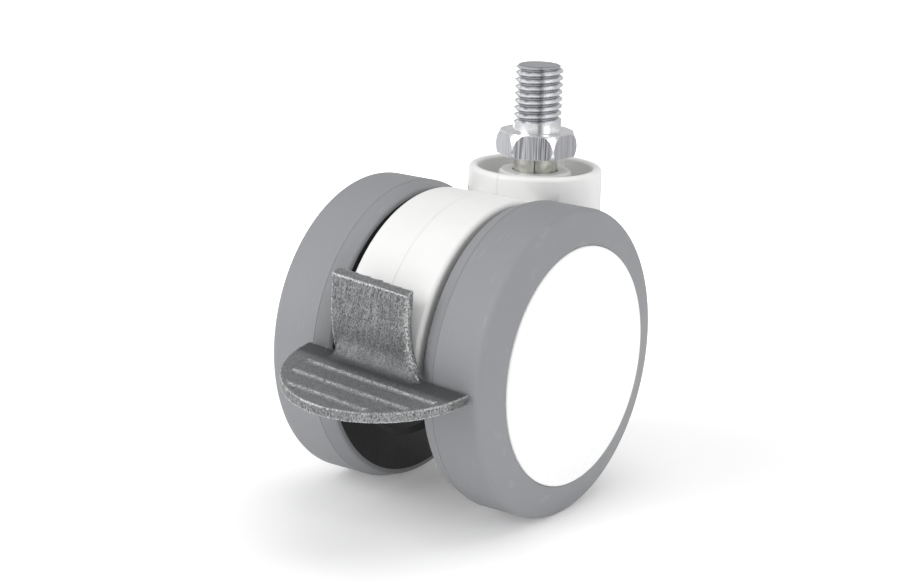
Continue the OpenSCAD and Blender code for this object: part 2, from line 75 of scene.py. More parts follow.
# Threaded stem
# One turned piece of free cutting steel, zinc plated: a rolled M12 thread, the spanner
# hexagon with its rounded corners, and a plain journal that turns in the housing.
THREAD_R = 6.0
PITCH = 1.75
STEM_END = 15.7
CHAMFER = 0.8
HEX_TOP = -0.8
HEX_BASE = -6.8
ACROSS_FLATS = 17.8
HEX_TURN = 27.8
BARREL_R = 10.12
BARREL_ARC = 6.98
BARREL_FULLEST = 0.4
NECK_ROUND = 0.3
JOURNAL_R = 5.45
STEM_FOOT = -35.48
FOOT_CHAMFER = 1.0
RING_GROOVE = -33.18
RING_WIDTH = 1.4
RING_DEPTH = 1.0


def linear(code):
    """An sRGB hex colour in linear light."""
    values = [int(code[i : i + 2], 16) / 255 for i in (1, 3, 5)]
    return tuple(v / 12.92 if v <= 0.04045 else ((v + 0.055) / 1.055) ** 2.4 for v in values) + (1.0,)


def add_node(tree, kind, *values, **settings):
    """Adds a node. The values fill its inputs in order, a setting with a capital letter is an
    input by name, and any other is a property. A node given for a value is linked to it."""
    node = tree.nodes.new(kind)
    for name, value in settings.items():
        if name[0].islower():
            setattr(node, name, value)
    inputs = [socket for socket in node.inputs if socket.enabled]
    chosen = list(zip(inputs, values))
    for name, value in settings.items():
        if name[0].isupper():
            chosen.append((next(s for s in inputs if s.name == name.replace("_", " ")), value))
    for socket, value in chosen:
        if isinstance(value, bpy.types.Node):
            value = next(s for s in value.outputs if s.enabled)
        if isinstance(value, bpy.types.NodeSocket):
            tree.links.new(value, socket)
        else:
            socket.default_value = linear(value) if isinstance(value, str) else value
    return node


def new_material(name, **finish):
    """A material whose shader has these plain values, with the coordinates its patterns read."""
    material = bpy.data.materials.new(name)
    material.use_nodes = True
    shader = material.node_tree.nodes["Principled BSDF"]
    for label, value in finish.items():
        plain = linear(value) if isinstance(value, str) else value
        shader.inputs[label.replace("_", " ")].default_value = plain
    place = add_node(material.node_tree, "ShaderNodeTexCoord").outputs["Object"]
    return material, material.node_tree, shader, place


def give(tree, shader, **patterns):
    """Links each pattern to the shader's input of that name."""
    for label, node in patterns.items():
        tree.links.new(next(s for s in node.outputs if s.enabled), shader.inputs[label.replace("_", " ")])


def show(name, mesh):
    piece = bpy.data.objects.new(name, mesh)
    bpy.context.scene.collection.objects.link(piece)
    return piece


def baked(piece):
    """The piece's mesh with its modifiers applied. The piece itself is removed."""
    graph = bpy.context.evaluated_depsgraph_get()
    mesh = bpy.data.meshes.new_from_object(piece.evaluated_get(graph))
    bpy.data.objects.remove(piece)
    return mesh


def arc(along, radius, size, start, end, steps):
    """Points of a profile on an arc, from one angle to another."""
    angles = [math.radians(start + (end - start) * i / steps) for i in range(steps + 1)]
    return [(along + size * math.cos(t), radius + size * math.sin(t)) for t in angles]


def close_up(mesh, material, sharp):
    """Joins doubled points, turns faces outwards, and smooths edges flatter than an angle."""
    build = bmesh.new()
    build.from_mesh(mesh)
    bmesh.ops.remove_doubles(build, verts=build.verts, dist=2e-6)
    bmesh.ops.dissolve_degenerate(build, edges=build.edges, dist=1e-7)
    bmesh.ops.recalc_face_normals(build, faces=build.faces)
    build.to_mesh(mesh)
    build.free()
    mesh.materials.clear()
    mesh.materials.append(material)
    mesh.shade_smooth()
    mesh.set_sharp_from_angle(angle=math.radians(sharp))


def turned(name, profile, middle, along, aside, material, sharp=35, steps=192):
    """Turns a closed profile of (distance along, radius), in mm, about a line through the middle."""
    across = along.cross(aside)
    points = []
    for k in range(steps):
        t = 2 * math.pi * k / steps
        out = aside * math.cos(t) + across * math.sin(t)
        points += [middle + (along * a + out * r) * MM for a, r in profile]
    n = len(profile)
    faces = []
    for k in range(steps):
        j = (k + 1) % steps
        faces += [(k * n + i, k * n + (i + 1) % n, j * n + (i + 1) % n, j * n + i) for i in range(n)]
    mesh = bpy.data.meshes.new(name)
    mesh.from_pydata(points, [], faces)
    close_up(mesh, material, sharp)
    return show(name, mesh)


# Bright zinc plating: nearly mirror smooth on the thread and the rounded corners, drawn
# lines down the hexagon's flats, and a duller straw coloured film on the journal. The real
# lines are some 0.1 mm apart, and drawn 0.24 mm apart they just show.
zinc, tree, shader, place = new_material("bright_zinc_plating", Metallic=1.0)
spot = add_node(tree, "ShaderNodeSeparateXYZ", place).outputs
base = HEX_BASE * MM
on_journal = add_node(tree, "ShaderNodeMapRange", spot[2], base + 0.1 * MM, base - 0.1 * MM, 0.0, 1.0)
below_top = add_node(tree, "ShaderNodeMapRange", spot[2], HEX_TOP * MM, (HEX_TOP - 0.3) * MM, 0.0, 1.0)
above_base = add_node(tree, "ShaderNodeMapRange", spot[2], base, base + 0.2 * MM, 0.0, 1.0)
on_hexagon = add_node(tree, "ShaderNodeMath", below_top, above_base, operation="MULTIPLY")
# How far the nearest flat is from the stem's middle line tells the flats from the round corners.
reach = 0.0
for k in range(3):
    t = math.radians(HEX_TURN + 30 + 60 * k)
    reach_x = add_node(tree, "ShaderNodeMath", spot[0], math.cos(t), operation="MULTIPLY")
    toward = add_node(tree, "ShaderNodeMath", spot[1], math.sin(t), reach_x, operation="MULTIPLY_ADD")
    toward = add_node(tree, "ShaderNodeMath", toward, operation="ABSOLUTE")
    reach = add_node(tree, "ShaderNodeMath", toward, reach, operation="MAXIMUM")
flat_at = ACROSS_FLATS / 2 * MM
near = add_node(tree, "ShaderNodeMapRange", reach, flat_at - 0.08 * MM, flat_at - 0.02 * MM, 0.0, 1.0)
on_flat = add_node(tree, "ShaderNodeMath", on_hexagon, near, operation="MULTIPLY")
film = add_node(tree, "ShaderNodeTexNoise", Vector=place, Scale=1 / (1.6 * MM), Detail=4.0)
film = add_node(tree, "ShaderNodeMapRange", film, 0.35, 0.68, 0.0, 1.0)
plated = add_node(tree, "ShaderNodeMix", film, "#f6f6f8", "#e6e7ea", data_type="RGBA")
# Painted shade: the root of the thread is darker than its crests.
from_middle = add_node(tree, "ShaderNodeVectorMath", place, (1.0, 1.0, 0.0), operation="MULTIPLY")
from_middle = add_node(tree, "ShaderNodeVectorMath", from_middle, operation="LENGTH").outputs["Value"]
root = add_node(tree, "ShaderNodeMapRange", from_middle, 4.95 * MM, 5.6 * MM, 1.0, 0.0)
plated = add_node(tree, "ShaderNodeMix", root, plated, "#a2a4a8", data_type="RGBA")
round_corner = add_node(tree, "ShaderNodeMath", on_hexagon, on_flat, operation="SUBTRACT")
plated = add_node(tree, "ShaderNodeMix", round_corner, plated, "#f4f5f6", data_type="RGBA")
flats = add_node(tree, "ShaderNodeMapping", place, Scale=(1 / (0.24 * MM), 1 / (0.24 * MM), 1 / (14 * MM)))
drawn = add_node(tree, "ShaderNodeTexNoise", Vector=flats, Scale=1.0, Detail=2.0)
drawn = add_node(tree, "ShaderNodeMapRange", drawn, 0.4, 0.6, 0.0, 1.0)
# The drawing die left its deepest lines on the flat that faces the pedal.
t = math.radians(HEX_TURN - 90)
front = (math.cos(t), math.sin(t), 0.0)
facing = add_node(tree, "ShaderNodeTexCoord").outputs["Normal"]
facing = add_node(tree, "ShaderNodeVectorMath", facing, front, operation="DOT_PRODUCT")
depth = add_node(tree, "ShaderNodeMapRange", facing.outputs["Value"], 0.7, 0.95, 0.3, 1.0)
drawn = add_node(tree, "ShaderNodeMix", depth, 0.5, drawn)
lined = add_node(tree, "ShaderNodeMix", drawn, "#8e8f94", "#e9e9ee", data_type="RGBA")
plated = add_node(tree, "ShaderNodeMix", on_flat, plated, lined, data_type="RGBA")
filmed = add_node(tree, "ShaderNodeMix", film, "#bdbdb6", "#e4e4dc", data_type="RGBA")
give(tree, shader, Base_Color=add_node(tree, "ShaderNodeMix", on_journal, plated, filmed, data_type="RGBA"))
polish = add_node(tree, "ShaderNodeMapRange", film, 0.0, 1.0, 0.2, 0.25)
polish = add_node(tree, "ShaderNodeMath", on_flat, 0.16, polish, operation="MULTIPLY_ADD")
polish = add_node(tree, "ShaderNodeMath", on_journal, 0.16, polish, operation="MULTIPLY_ADD")
give(tree, shader, Roughness=polish)
drawn = add_node(tree, "ShaderNodeMath", drawn, on_flat, operation="MULTIPLY")
rounds = add_node(tree, "ShaderNodeMapping", place, Scale=(1 / (16 * MM), 1 / (16 * MM), 1 / (0.2 * MM)))
rounds = add_node(tree, "ShaderNodeTexNoise", Vector=rounds, Scale=1.0, Detail=2.0)
marks = add_node(tree, "ShaderNodeMath", drawn, 1.5, rounds, operation="MULTIPLY_ADD")
marks = add_node(tree, "ShaderNodeMath", film, 0.2, marks, operation="MULTIPLY_ADD")
give(tree, shader, Normal=add_node(tree, "ShaderNodeBump", Height=marks, Distance=0.03 * MM, Strength=0.25))

# The thread is cut with a tool of the groove's own section, drawn along a helix. The tool
# stands a little proud of the shaft, and its path moves outwards where the groove runs out.
thread = bpy.data.node_groups.new("thread_groove", "GeometryNodeTree")
thread.interface.new_socket("Geometry", in_out="OUTPUT", socket_type="NodeSocketGeometry")
groove = {
    "Turns": 8.8,
    "Pitch": PITCH * MM,
    "Crest": THREAD_R * MM,
    "Depth": 1.0 * MM,
    "Start": 1.0 * MM,
    "Root": 0.25 * MM,
}
socket_ids = {}
for label, value in groove.items():
    socket = thread.interface.new_socket(label, in_out="INPUT", socket_type="NodeSocketFloat")
    socket_ids[label] = socket.identifier
size = add_node(thread, "NodeGroupInput").outputs
tall = add_node(thread, "ShaderNodeMath", size["Depth"], 0.1 * MM, operation="ADD")
crest = add_node(thread, "ShaderNodeMath", size["Crest"], 0.1 * MM, operation="ADD")
middle = add_node(thread, "ShaderNodeMath", tall, -0.5, crest, operation="MULTIPLY_ADD")
climb = add_node(thread, "ShaderNodeMath", size["Turns"], size["Pitch"], operation="MULTIPLY")
helix = add_node(
    thread,
    "GeometryNodeCurveSpiral",
    Resolution=72,
    Reverse=True,
    Rotations=size["Turns"],
    Start_Radius=middle,
    End_Radius=middle,
    Height=climb,
)
share = add_node(thread, "GeometryNodeSplineParameter")
leaving = add_node(thread, "ShaderNodeMapRange", share, 0.93, 1.0, 0.0, 0.22)
outward = add_node(thread, "ShaderNodeMapRange", share, 0.0, 0.05, 1.22, 1.0)
outward = add_node(thread, "ShaderNodeMath", outward, leaving, operation="ADD")
spot = add_node(thread, "ShaderNodeSeparateXYZ", add_node(thread, "GeometryNodeInputPosition")).outputs
laid = add_node(
    thread,
    "ShaderNodeCombineXYZ",
    add_node(thread, "ShaderNodeMath", spot[0], outward, operation="MULTIPLY"),
    add_node(thread, "ShaderNodeMath", spot[1], outward, operation="MULTIPLY"),
    add_node(thread, "ShaderNodeMath", spot[2], size["Start"], operation="ADD"),
)
path = add_node(thread, "GeometryNodeSetPosition", helix, Position=laid)
path = add_node(thread, "GeometryNodeSetCurveNormal", path, mode="Z_UP")
spread = 2 * math.tan(math.radians(30))
flank = add_node(thread, "ShaderNodeMath", tall, spread, size["Root"], operation="MULTIPLY_ADD")
section = add_node(
    thread,
    "GeometryNodeCurvePrimitiveQuadrilateral",
    mode="TRAPEZOID",
    Bottom_Width=size["Root"],
    Top_Width=flank,
    Height=tall,
    Offset=0.0,
)
section = add_node(thread, "GeometryNodeTransform", section, Rotation=(0.0, 0.0, math.radians(-90)))
tool = add_node(thread, "GeometryNodeCurveToMesh", path, section, Fill_Caps=True)
tool = add_node(thread, "GeometryNodeRealizeInstances", tool)
tool = add_node(thread, "GeometryNodeSetMaterial", tool, Material=zinc)
add_node(thread, "NodeGroupOutput", tool)

tool = show("groove_tool", bpy.data.meshes.new("groove_tool"))
modifier = tool.modifiers.new("groove", "NODES")
modifier.node_group = thread
for label, value in groove.items():
    modifier[socket_ids[label]] = value
tool = show("groove_tool", baked(tool))
upwards, forwards, origin = Vector((0, 0, 1)), Vector((1, 0, 0)), Vector((0, 0, 0))
# From the foot up: journal with its ring groove, neck inside the hexagon, fillet, thread
# blank and tip.
shaft = [(STEM_FOOT, 0), (STEM_FOOT, JOURNAL_R - FOOT_CHAMFER), (STEM_FOOT + FOOT_CHAMFER, JOURNAL_R)]
shaft += [(RING_GROOVE, JOURNAL_R), (RING_GROOVE, JOURNAL_R - RING_DEPTH)]
shaft += [(RING_GROOVE + RING_WIDTH, JOURNAL_R - RING_DEPTH), (RING_GROOVE + RING_WIDTH, JOURNAL_R)]
shaft += [(HEX_BASE + 0.4, JOURNAL_R), (HEX_TOP - 0.4, THREAD_R + NECK_ROUND)]
for t in (1.57, 1.05, 0.52, 0):
    shaft.append((HEX_TOP + NECK_ROUND * (1 - math.sin(t)), THREAD_R + NECK_ROUND * (1 - math.cos(t))))
shaft += [(STEM_END - CHAMFER - 0.3, THREAD_R), (STEM_END - CHAMFER, THREAD_R - 0.15)]
shaft += [(STEM_END - 0.15, THREAD_R - CHAMFER), (STEM_END, THREAD_R - CHAMFER - 0.3), (STEM_END, 0)]
blank = turned("stem_blank", shaft, origin, upwards, forwards, zinc, 30, 96)
# The hexagon's corners are rounded like a barrel, more at the top than at the base.
fullest = HEX_BASE + BARREL_FULLEST * (HEX_TOP - HEX_BASE)
barrel = [(HEX_BASE, 0)]
for i in range(19):
    z = HEX_BASE + (HEX_TOP - HEX_BASE) * i / 18
    barrel.append((z, BARREL_R - BARREL_ARC + math.sqrt(BARREL_ARC**2 - (z - fullest) ** 2)))
barrel.append((HEX_TOP, 0))
hexagon = turned("hexagon", barrel, origin, upwards, forwards, zinc, 30, 144)
build = bmesh.new()
build.from_mesh(hexagon.data)
for k in range(6):
    t = math.radians(HEX_TURN + 30 + 60 * k)
    outwards = Vector((math.cos(t), math.sin(t), 0))
    whole = build.verts[:] + build.edges[:] + build.faces[:]
    cut = bmesh.ops.bisect_plane(
        build, geom=whole, plane_co=outwards * flat_at, plane_no=outwards, clear_outer=True, dist=1e-8
    )
    rim = [edge for edge in cut["geom_cut"] if isinstance(edge, bmesh.types.BMEdge)]
    bmesh.ops.edgeloop_fill(build, edges=rim)
build.to_mesh(hexagon.data)
build.free()
for kind, other in (("UNION", hexagon), ("DIFFERENCE", tool)):
    cut = blank.modifiers.new(kind.lower(), "BOOLEAN")
    cut.operation = kind
    cut.solver = "EXACT"
    cut.object = other
stem = show("threaded_stem", baked(blank))
bpy.data.objects.remove(tool)
bpy.data.objects.remove(hexagon)
close_up(stem.data, zinc, 24)
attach(stem, "stem_body")
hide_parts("stem")

# Pieces inside the swivel
# The spring ring that keeps the stem in, the ball under its foot and the bush it turns in:
# plain steel, pressed or snapped in before the stem.
# Ground steel: a satin grey with fine lines round the axle.
steel, tree, shader, place = new_material("ground_steel", Metallic=1.0, Base_Color="#a9abae")
lines = add_node(tree, "ShaderNodeMapping", place, Scale=(1 / (0.3 * MM), 1 / (4 * MM), 1 / (4 * MM)))
lines = add_node(tree, "ShaderNodeTexNoise", Vector=lines, Scale=1.0, Detail=3.0)
give(tree, shader, Roughness=add_node(tree, "ShaderNodeMapRange", lines, 0.3, 0.7, 0.2, 0.38))
give(tree, shader, Normal=add_node(tree, "ShaderNodeBump", Height=lines, Distance=0.01 * MM, Strength=0.4))
# Tempered spring steel: darker, with a mottled blue grey scale.
temper, tree, shader, place = new_material("tempered_spring_steel", Metallic=1.0)
scale = add_node(tree, "ShaderNodeTexNoise", Vector=place, Scale=1 / (1.4 * MM), Detail=4.0)
tone = add_node(tree, "ShaderNodeMix", scale, "#63666b", "#83868b", data_type="RGBA")
give(tree, shader, Base_Color=tone)
give(tree, shader, Roughness=add_node(tree, "ShaderNodeMapRange", scale, 0.3, 0.7, 0.28, 0.46))


def dress(node, material):
    """Gives a CAD node that keeps its shape its real finish."""
    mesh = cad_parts[node].data
    mesh.materials.clear()
    mesh.materials.append(material)


dress("thrust_ball", steel)
dress("swivel_bush", steel)
dress("grip_ring", temper)

# Housing
# One white nylon moulding: the hood over the gap between the wheels, its cheeks, and the
# round tower that holds the stem. The two halves of the mould met on its middle line.
# Moulded nylon: satin white with a spark eroded grain and a faint seam. The real grain is
# under 0.1 mm, and is drawn at 0.4 mm so that it shows.
nylon, tree, shader, place = new_material("moulded_white_nylon", IOR=1.53)
across = add_node(tree, "ShaderNodeSeparateXYZ", place)
across = add_node(tree, "ShaderNodeMath", across, operation="ABSOLUTE")
seam = add_node(tree, "ShaderNodeMapRange", across, 0.2 * MM, 0.05 * MM, 0.0, 1.0)
cloud = add_node(tree, "ShaderNodeTexNoise", Vector=place, Scale=1 / (16 * MM), Detail=3.0)
cloud = add_node(tree, "ShaderNodeMapRange", cloud, 0.35, 0.65, 0.0, 1.0)
tone = add_node(tree, "ShaderNodeMix", cloud, "#ececeb", "#e8e8e7", data_type="RGBA")
faint = add_node(tree, "ShaderNodeMath", seam, 0.35, operation="MULTIPLY")
give(tree, shader, Base_Color=add_node(tree, "ShaderNodeMix", faint, tone, "#cfcfce", data_type="RGBA"))
give(tree, shader, Roughness=add_node(tree, "ShaderNodeMapRange", cloud, 0.0, 1.0, 0.3, 0.38))
grain = add_node(tree, "ShaderNodeTexNoise", Vector=place, Scale=1 / (0.4 * MM), Detail=2.0)
relief = add_node(tree, "ShaderNodeMath", grain, 0.12, operation="MULTIPLY")
relief = add_node(tree, "ShaderNodeMath", seam, -1.5, relief, operation="MULTIPLY_ADD")
give(tree, shader, Normal=add_node(tree, "ShaderNodeBump", Height=relief, Distance=0.08 * MM, Strength=0.6))

housing = show("moulded_housing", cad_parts["housing"].data.copy())
close_up(housing.data, nylon, 28)
even = housing.modifiers.new("even", "WEIGHTED_NORMAL")
even.keep_sharp = True
housing = show("moulded_housing", baked(housing))
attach(housing, "housing_body")
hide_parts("housing")

# Axle, clips and bearings
# A ground pin pressed through the cheeks, an open clip on each end, and a ball bearing
# in each wheel: hardened rings and polished balls in a black moulded cage.
dress("axle", steel)
for side in ("left", "right"):
    dress(f"bearing_outer_{side}", steel)
    dress(f"bearing_inner_{side}", steel)
    dress(f"axle_clip_{side}", temper)
# Chrome steel balls: a mirror with the slightest haze.
mirror, tree, shader, place = new_material("polished_chrome_steel", Metallic=1.0, Base_Color="#d9dbde")
haze = add_node(tree, "ShaderNodeTexNoise", Vector=place, Scale=1 / (1.1 * MM), Detail=2.0)
give(tree, shader, Roughness=add_node(tree, "ShaderNodeMapRange", haze, 0.3, 0.7, 0.05, 0.12))
for node in ("bearing_balls_left", "bearing_balls_right"):
    dress(node, mirror)

# Wheel cores
# The moulded centre of each wheel: rim, web, ribs, bearing hub and the ring of locking
# teeth, black. The black is partly painted shade: it stands in for the shade between the
# wheels, so that only a dark hollow shows under the pedal.
# Moulded polypropylene: dull black with a light pitted grain.
black, tree, shader, place = new_material("moulded_black_polypropylene", IOR=1.49)
pits = add_node(tree, "ShaderNodeTexNoise", Vector=place, Scale=1 / (0.7 * MM), Detail=3.0)
give(tree, shader, Base_Color=add_node(tree, "ShaderNodeMix", pits, "#161618", "#242427", data_type="RGBA"))
give(tree, shader, Roughness=add_node(tree, "ShaderNodeMapRange", pits, 0.3, 0.7, 0.42, 0.6))
give(tree, shader, Normal=add_node(tree, "ShaderNodeBump", Height=pits, Distance=0.03 * MM, Strength=0.4))
for node in ("wheel_core_left", "wheel_core_right", "bearing_cage_left", "bearing_cage_right"):
    dress(node, black)

# Tyres
# Grey thermoplastic rubber moulded round each core. The mould closed on a line near the
# inner edge of the tread, with a bevel beside it down to the inner face.
WHEEL_R = 37.5
TYRE_IN = 13.6
TREAD_END = 30.2
CORE_R = 25.4
CAP_R = 29.0
FLANGE_R = 35.0
FLANGE = 0.8

# Moulded rubber: an even mid grey with a soft sheen, faint clouds and light scuffs. Its skin
# is finer than the 0.55 mm that it is drawn at here.
rubber, tree, shader, place = new_material("moulded_grey_rubber", IOR=1.5)
cloud = add_node(tree, "ShaderNodeTexNoise", Vector=place, Scale=1 / (22 * MM), Detail=4.0)
tone = add_node(tree, "ShaderNodeMix", cloud, "#87888b", "#909194", data_type="RGBA")
scuff = add_node(tree, "ShaderNodeMapping", place, Scale=(1 / (1.1 * MM), 1 / (6 * MM), 1 / (6 * MM)))
scuff = add_node(tree, "ShaderNodeTexNoise", Vector=scuff, Scale=1.0, Detail=5.0)
worn = add_node(tree, "ShaderNodeMapRange", scuff, 0.6, 0.78, 0.0, 0.4)
give(tree, shader, Base_Color=add_node(tree, "ShaderNodeMix", worn, tone, "#a2a3a7", data_type="RGBA"))
give(tree, shader, Roughness=add_node(tree, "ShaderNodeMapRange", scuff, 0.3, 0.8, 0.52, 0.68))
skin = add_node(tree, "ShaderNodeTexNoise", Vector=place, Scale=1 / (0.55 * MM), Detail=3.0)
give(tree, shader, Normal=add_node(tree, "ShaderNodeBump", Height=skin, Distance=0.04 * MM, Strength=0.25))

seam_at = TYRE_IN + 3.8
# From the core's flange outwards: inner face, bevel, mould line, tread, rounded shoulder,
# sloping side, and the lip and step round the cap.
tyre_profile = [(TYRE_IN + FLANGE, CORE_R), (TYRE_IN + FLANGE, FLANGE_R), (TYRE_IN, FLANGE_R)]
tyre_profile += [(TYRE_IN, WHEEL_R - 1.75), (TYRE_IN + 0.15, WHEEL_R - 1.4)]
tyre_profile += [(TYRE_IN + 0.5, WHEEL_R - 1.15)]
tyre_profile += [(seam_at - 0.16, WHEEL_R - 0.05), (seam_at - 0.08, WHEEL_R - 0.14)]
tyre_profile += [(seam_at + 0.08, WHEEL_R - 0.12), (seam_at + 0.16, WHEEL_R)]
tyre_profile += arc(TREAD_END - 1.6, WHEEL_R - 1.6, 1.6, 90, 15, 8)
tyre_profile += [(TREAD_END + 1.75, CAP_R + 0.75), (TREAD_END + 1.86, CAP_R + 0.4)]
tyre_profile += [(TREAD_END + 1.7, CAP_R + 0.1), (TREAD_END + 0.2, CAP_R + 0.1)]
tyre_profile += [(TREAD_END - 3.1, CAP_R + 0.1), (TREAD_END - 3.1, CORE_R)]
for side, name in ((-1, "left"), (1, "right")):
    outward = Vector((side, 0, 0))
    tyre = turned(f"moulded_tyre_{name}", tyre_profile, axle_middle, outward, upwards, rubber)
    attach(tyre, f"wheel_{name}_body")
    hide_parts(f"tyre_{name}")

# Wheel caps
# A smooth disc of ABS, very slightly domed, pressed into the outer face of each wheel.
# Moulded ABS: clean white, smoother and whiter than the housing.
gloss, tree, shader, place = new_material("moulded_white_abs", IOR=1.53)
cloud = add_node(tree, "ShaderNodeTexNoise", Vector=place, Scale=1 / (12 * MM), Detail=2.0)
tone = add_node(tree, "ShaderNodeMix", cloud, "#fdfdfd", "#f9f9f9", data_type="RGBA")
give(tree, shader, Base_Color=tone)
give(tree, shader, Roughness=add_node(tree, "ShaderNodeMapRange", cloud, 0.3, 0.7, 0.25, 0.33))
DOME = 1.0
cap_face = TREAD_END + 2.6
cap_profile = [(TREAD_END + 0.2, 0.0), (TREAD_END + 0.2, CAP_R), (TREAD_END + 1.7, CAP_R)]
cap_profile += arc(cap_face - 0.85, CAP_R - 0.85, 0.85, 90, 8, 8)
for r in (27, 25, 22, 19, 16, 13, 10, 7, 4, 2, 0):
    cap_profile.append((cap_face + DOME * (1 - (r / CAP_R) ** 2), r))
for side, name in ((-1, "left"), (1, "right")):
    cap = turned(f"domed_cap_{name}", cap_profile, axle_middle, Vector((side, 0, 0)), upwards, gloss)
    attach(cap, f"wheel_{name}_body")
    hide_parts(f"wheel_cap_{name}")

# Brake pedal
# A rough pressure casting in zinc, in one piece: the upright plate, the ridged foot, and
# behind them the arm, hub and cam. It was tumbled, not polished.
# As cast zinc: grainy, glittering dull grey, streaked down the plate, bright where edges rub, with a
# painted highlight down the plate's rounded front right edge and painted shade low on the plate.
# The sand like grain is drawn at 0.3 mm, about twice its real size, so that it shows.
casting, tree, shader, place = new_material("rough_zinc_casting", Metallic=0.85)
facing = add_node(tree, "ShaderNodeTexCoord").outputs["Normal"]
facing = add_node(tree, "ShaderNodeSeparateXYZ", facing).outputs
trodden = add_node(tree, "ShaderNodeMapRange", facing[2], 0.55, 0.9, 0.0, 1.0)
sand = add_node(tree, "ShaderNodeMapping", place, Scale=(1 / (0.3 * MM), 1 / (0.3 * MM), 1 / (0.5 * MM)))
sand = add_node(tree, "ShaderNodeTexNoise", Vector=sand, Scale=1.0, Detail=3.0)
patches = add_node(tree, "ShaderNodeTexNoise", Vector=place, Scale=1 / (5 * MM), Detail=3.0)
streaks = add_node(tree, "ShaderNodeMapping", place, Scale=(1 / (0.7 * MM), 1 / (0.7 * MM), 1 / (9 * MM)))
streaks = add_node(tree, "ShaderNodeTexNoise", Vector=streaks, Scale=1.0, Detail=3.0)
share = add_node(tree, "ShaderNodeMath", streaks, 0.4, sand, operation="MULTIPLY_ADD")
share = add_node(tree, "ShaderNodeMapRange", share, 0.52, 0.9, 0.0, 1.0)
rough_tone = add_node(tree, "ShaderNodeMix", share, "#535556", "#a1a2a3", data_type="RGBA")
worn_tone = add_node(tree, "ShaderNodeMix", share, "#77787a", "#a9aaab", data_type="RGBA")
tone = add_node(tree, "ShaderNodeMix", trodden, rough_tone, worn_tone, data_type="RGBA")
# Painted shade: the plate is darker low down, towards the foot, standing in for the shade in the corner and
# the dark foot's reflection.
spot = add_node(tree, "ShaderNodeSeparateXYZ", place).outputs
painted_low_shade = add_node(tree, "ShaderNodeMapRange", spot[2], -45.0 * MM, -35.5 * MM, 0.75, 0.0)
behind = add_node(tree, "ShaderNodeMapRange", spot[1], -73.5 * MM, -71.5 * MM, 0.0, 1.0)
painted_low_shade = add_node(tree, "ShaderNodeMath", painted_low_shade, behind, operation="MULTIPLY")
tone = add_node(tree, "ShaderNodeMix", painted_low_shade, tone, "#555657", data_type="RGBA")
edge = add_node(tree, "ShaderNodeNewGeometry").outputs["Pointiness"]
broken = add_node(tree, "ShaderNodeMapRange", sand, 0.38, 0.62, 0.1, 1.0)
rubbed_and_highlight = add_node(tree, "ShaderNodeMapRange", edge, 0.506, 0.54, 0.0, 0.9)
# Painted highlight: the plate's rounded front right edge, where the surface turns from -Y to +X, is
# lightened as a highlight would light it.
painted_edge_highlight = add_node(tree, "ShaderNodeMapRange", facing[0], 0.15, 0.5, 0.0, 0.75)
above_foot = add_node(tree, "ShaderNodeMapRange", spot[2], -47.5 * MM, -44.5 * MM, 0.15, 1.0)
painted_edge_highlight = add_node(tree, "ShaderNodeMath", painted_edge_highlight, above_foot, operation="MULTIPLY")
rubbed_and_highlight = add_node(tree, "ShaderNodeMath", rubbed_and_highlight, painted_edge_highlight, operation="MAXIMUM")
rubbed_and_highlight = add_node(tree, "ShaderNodeMath", rubbed_and_highlight, broken, operation="MULTIPLY")
# Rubbed edges and the painted highlight both take the bright colour.
give(tree, shader, Base_Color=add_node(tree, "ShaderNodeMix", rubbed_and_highlight, tone, "#e6e7e7", data_type="RGBA"))
give(tree, shader, Roughness=add_node(tree, "ShaderNodeMapRange", patches, 0.3, 0.7, 0.38, 0.52))
relief = add_node(tree, "ShaderNodeMath", streaks, 0.8, sand, operation="MULTIPLY_ADD")
depth = add_node(tree, "ShaderNodeMapRange", trodden, 0.0, 1.0, 0.7, 0.25)
relief = add_node(tree, "ShaderNodeBump", Height=relief, Distance=0.12 * MM, Strength=depth)
give(tree, shader, Normal=relief)


def cast_skin(node, voxel, worn):
    """A CAD node's shape with its edges softened and its skin a little uneven, as cast. Along
    each worn line, from a start to an end and within a reach in mm, it is smoother still."""
    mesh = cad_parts[node].data.copy()
    close_up(mesh, casting, 30)
    rough = show(node + "_blank", mesh)
    skin = rough.modifiers.new("skin", "REMESH")
    skin.mode = "VOXEL"
    skin.voxel_size = voxel
    soften = rough.modifiers.new("soften", "SMOOTH")
    soften.factor = 0.5
    soften.iterations = 2
    mesh = baked(rough)
    spots = [v.co - v.normal * 0.05 * MM * (1 + noise.noise(v.co / (1.6 * MM))) for v in mesh.vertices]
    for vertex, spot in zip(mesh.vertices, spots):
        vertex.co = spot
    build = bmesh.new()
    build.from_mesh(mesh)
    every_way = {"use_axis_x": True, "use_axis_y": True, "use_axis_z": True}
    for start, end, reach in worn:
        start, end = Vector(start) * MM, Vector(end) * MM
        corner = []
        for vertex in build.verts:
            nearest, share = geometry.intersect_point_line(vertex.co, start, end)
            if 0 <= share <= 1 and (vertex.co - nearest).length < reach * MM:
                corner.append(vertex)
        for _ in range(20):
            bmesh.ops.smooth_vert(build, verts=corner, factor=0.5, **every_way)
    build.to_mesh(mesh)
    build.free()
    mesh.materials.clear()
    mesh.materials.append(casting)
    mesh.shade_smooth()
    return mesh


# The sweep between plate and foot, smoothed less towards its left end, and the front right
# edge of the plate from the top down.
worn = [((start, -70.9, -43.6), (15.2, -70.9, -45.4), 4.3) for start in (-8.2, -7.0, -5.8)]
side = [(10.7, -66.9, -29.0), (10.9, -67.8, -36.6), (11.9, -68.3, -41.0)]
side += [(13.2, -68.5, -43.3), (14.6, -68.6, -44.9)]
worn += [(side[k], side[k + 1], 1.5) for k in range(len(side) - 1)] * 3
pedal = show("cast_pedal", cast_skin("brake_pedal", 0.28 * MM, worn))
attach(pedal, "pedal_body")
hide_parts("brake_pedal")

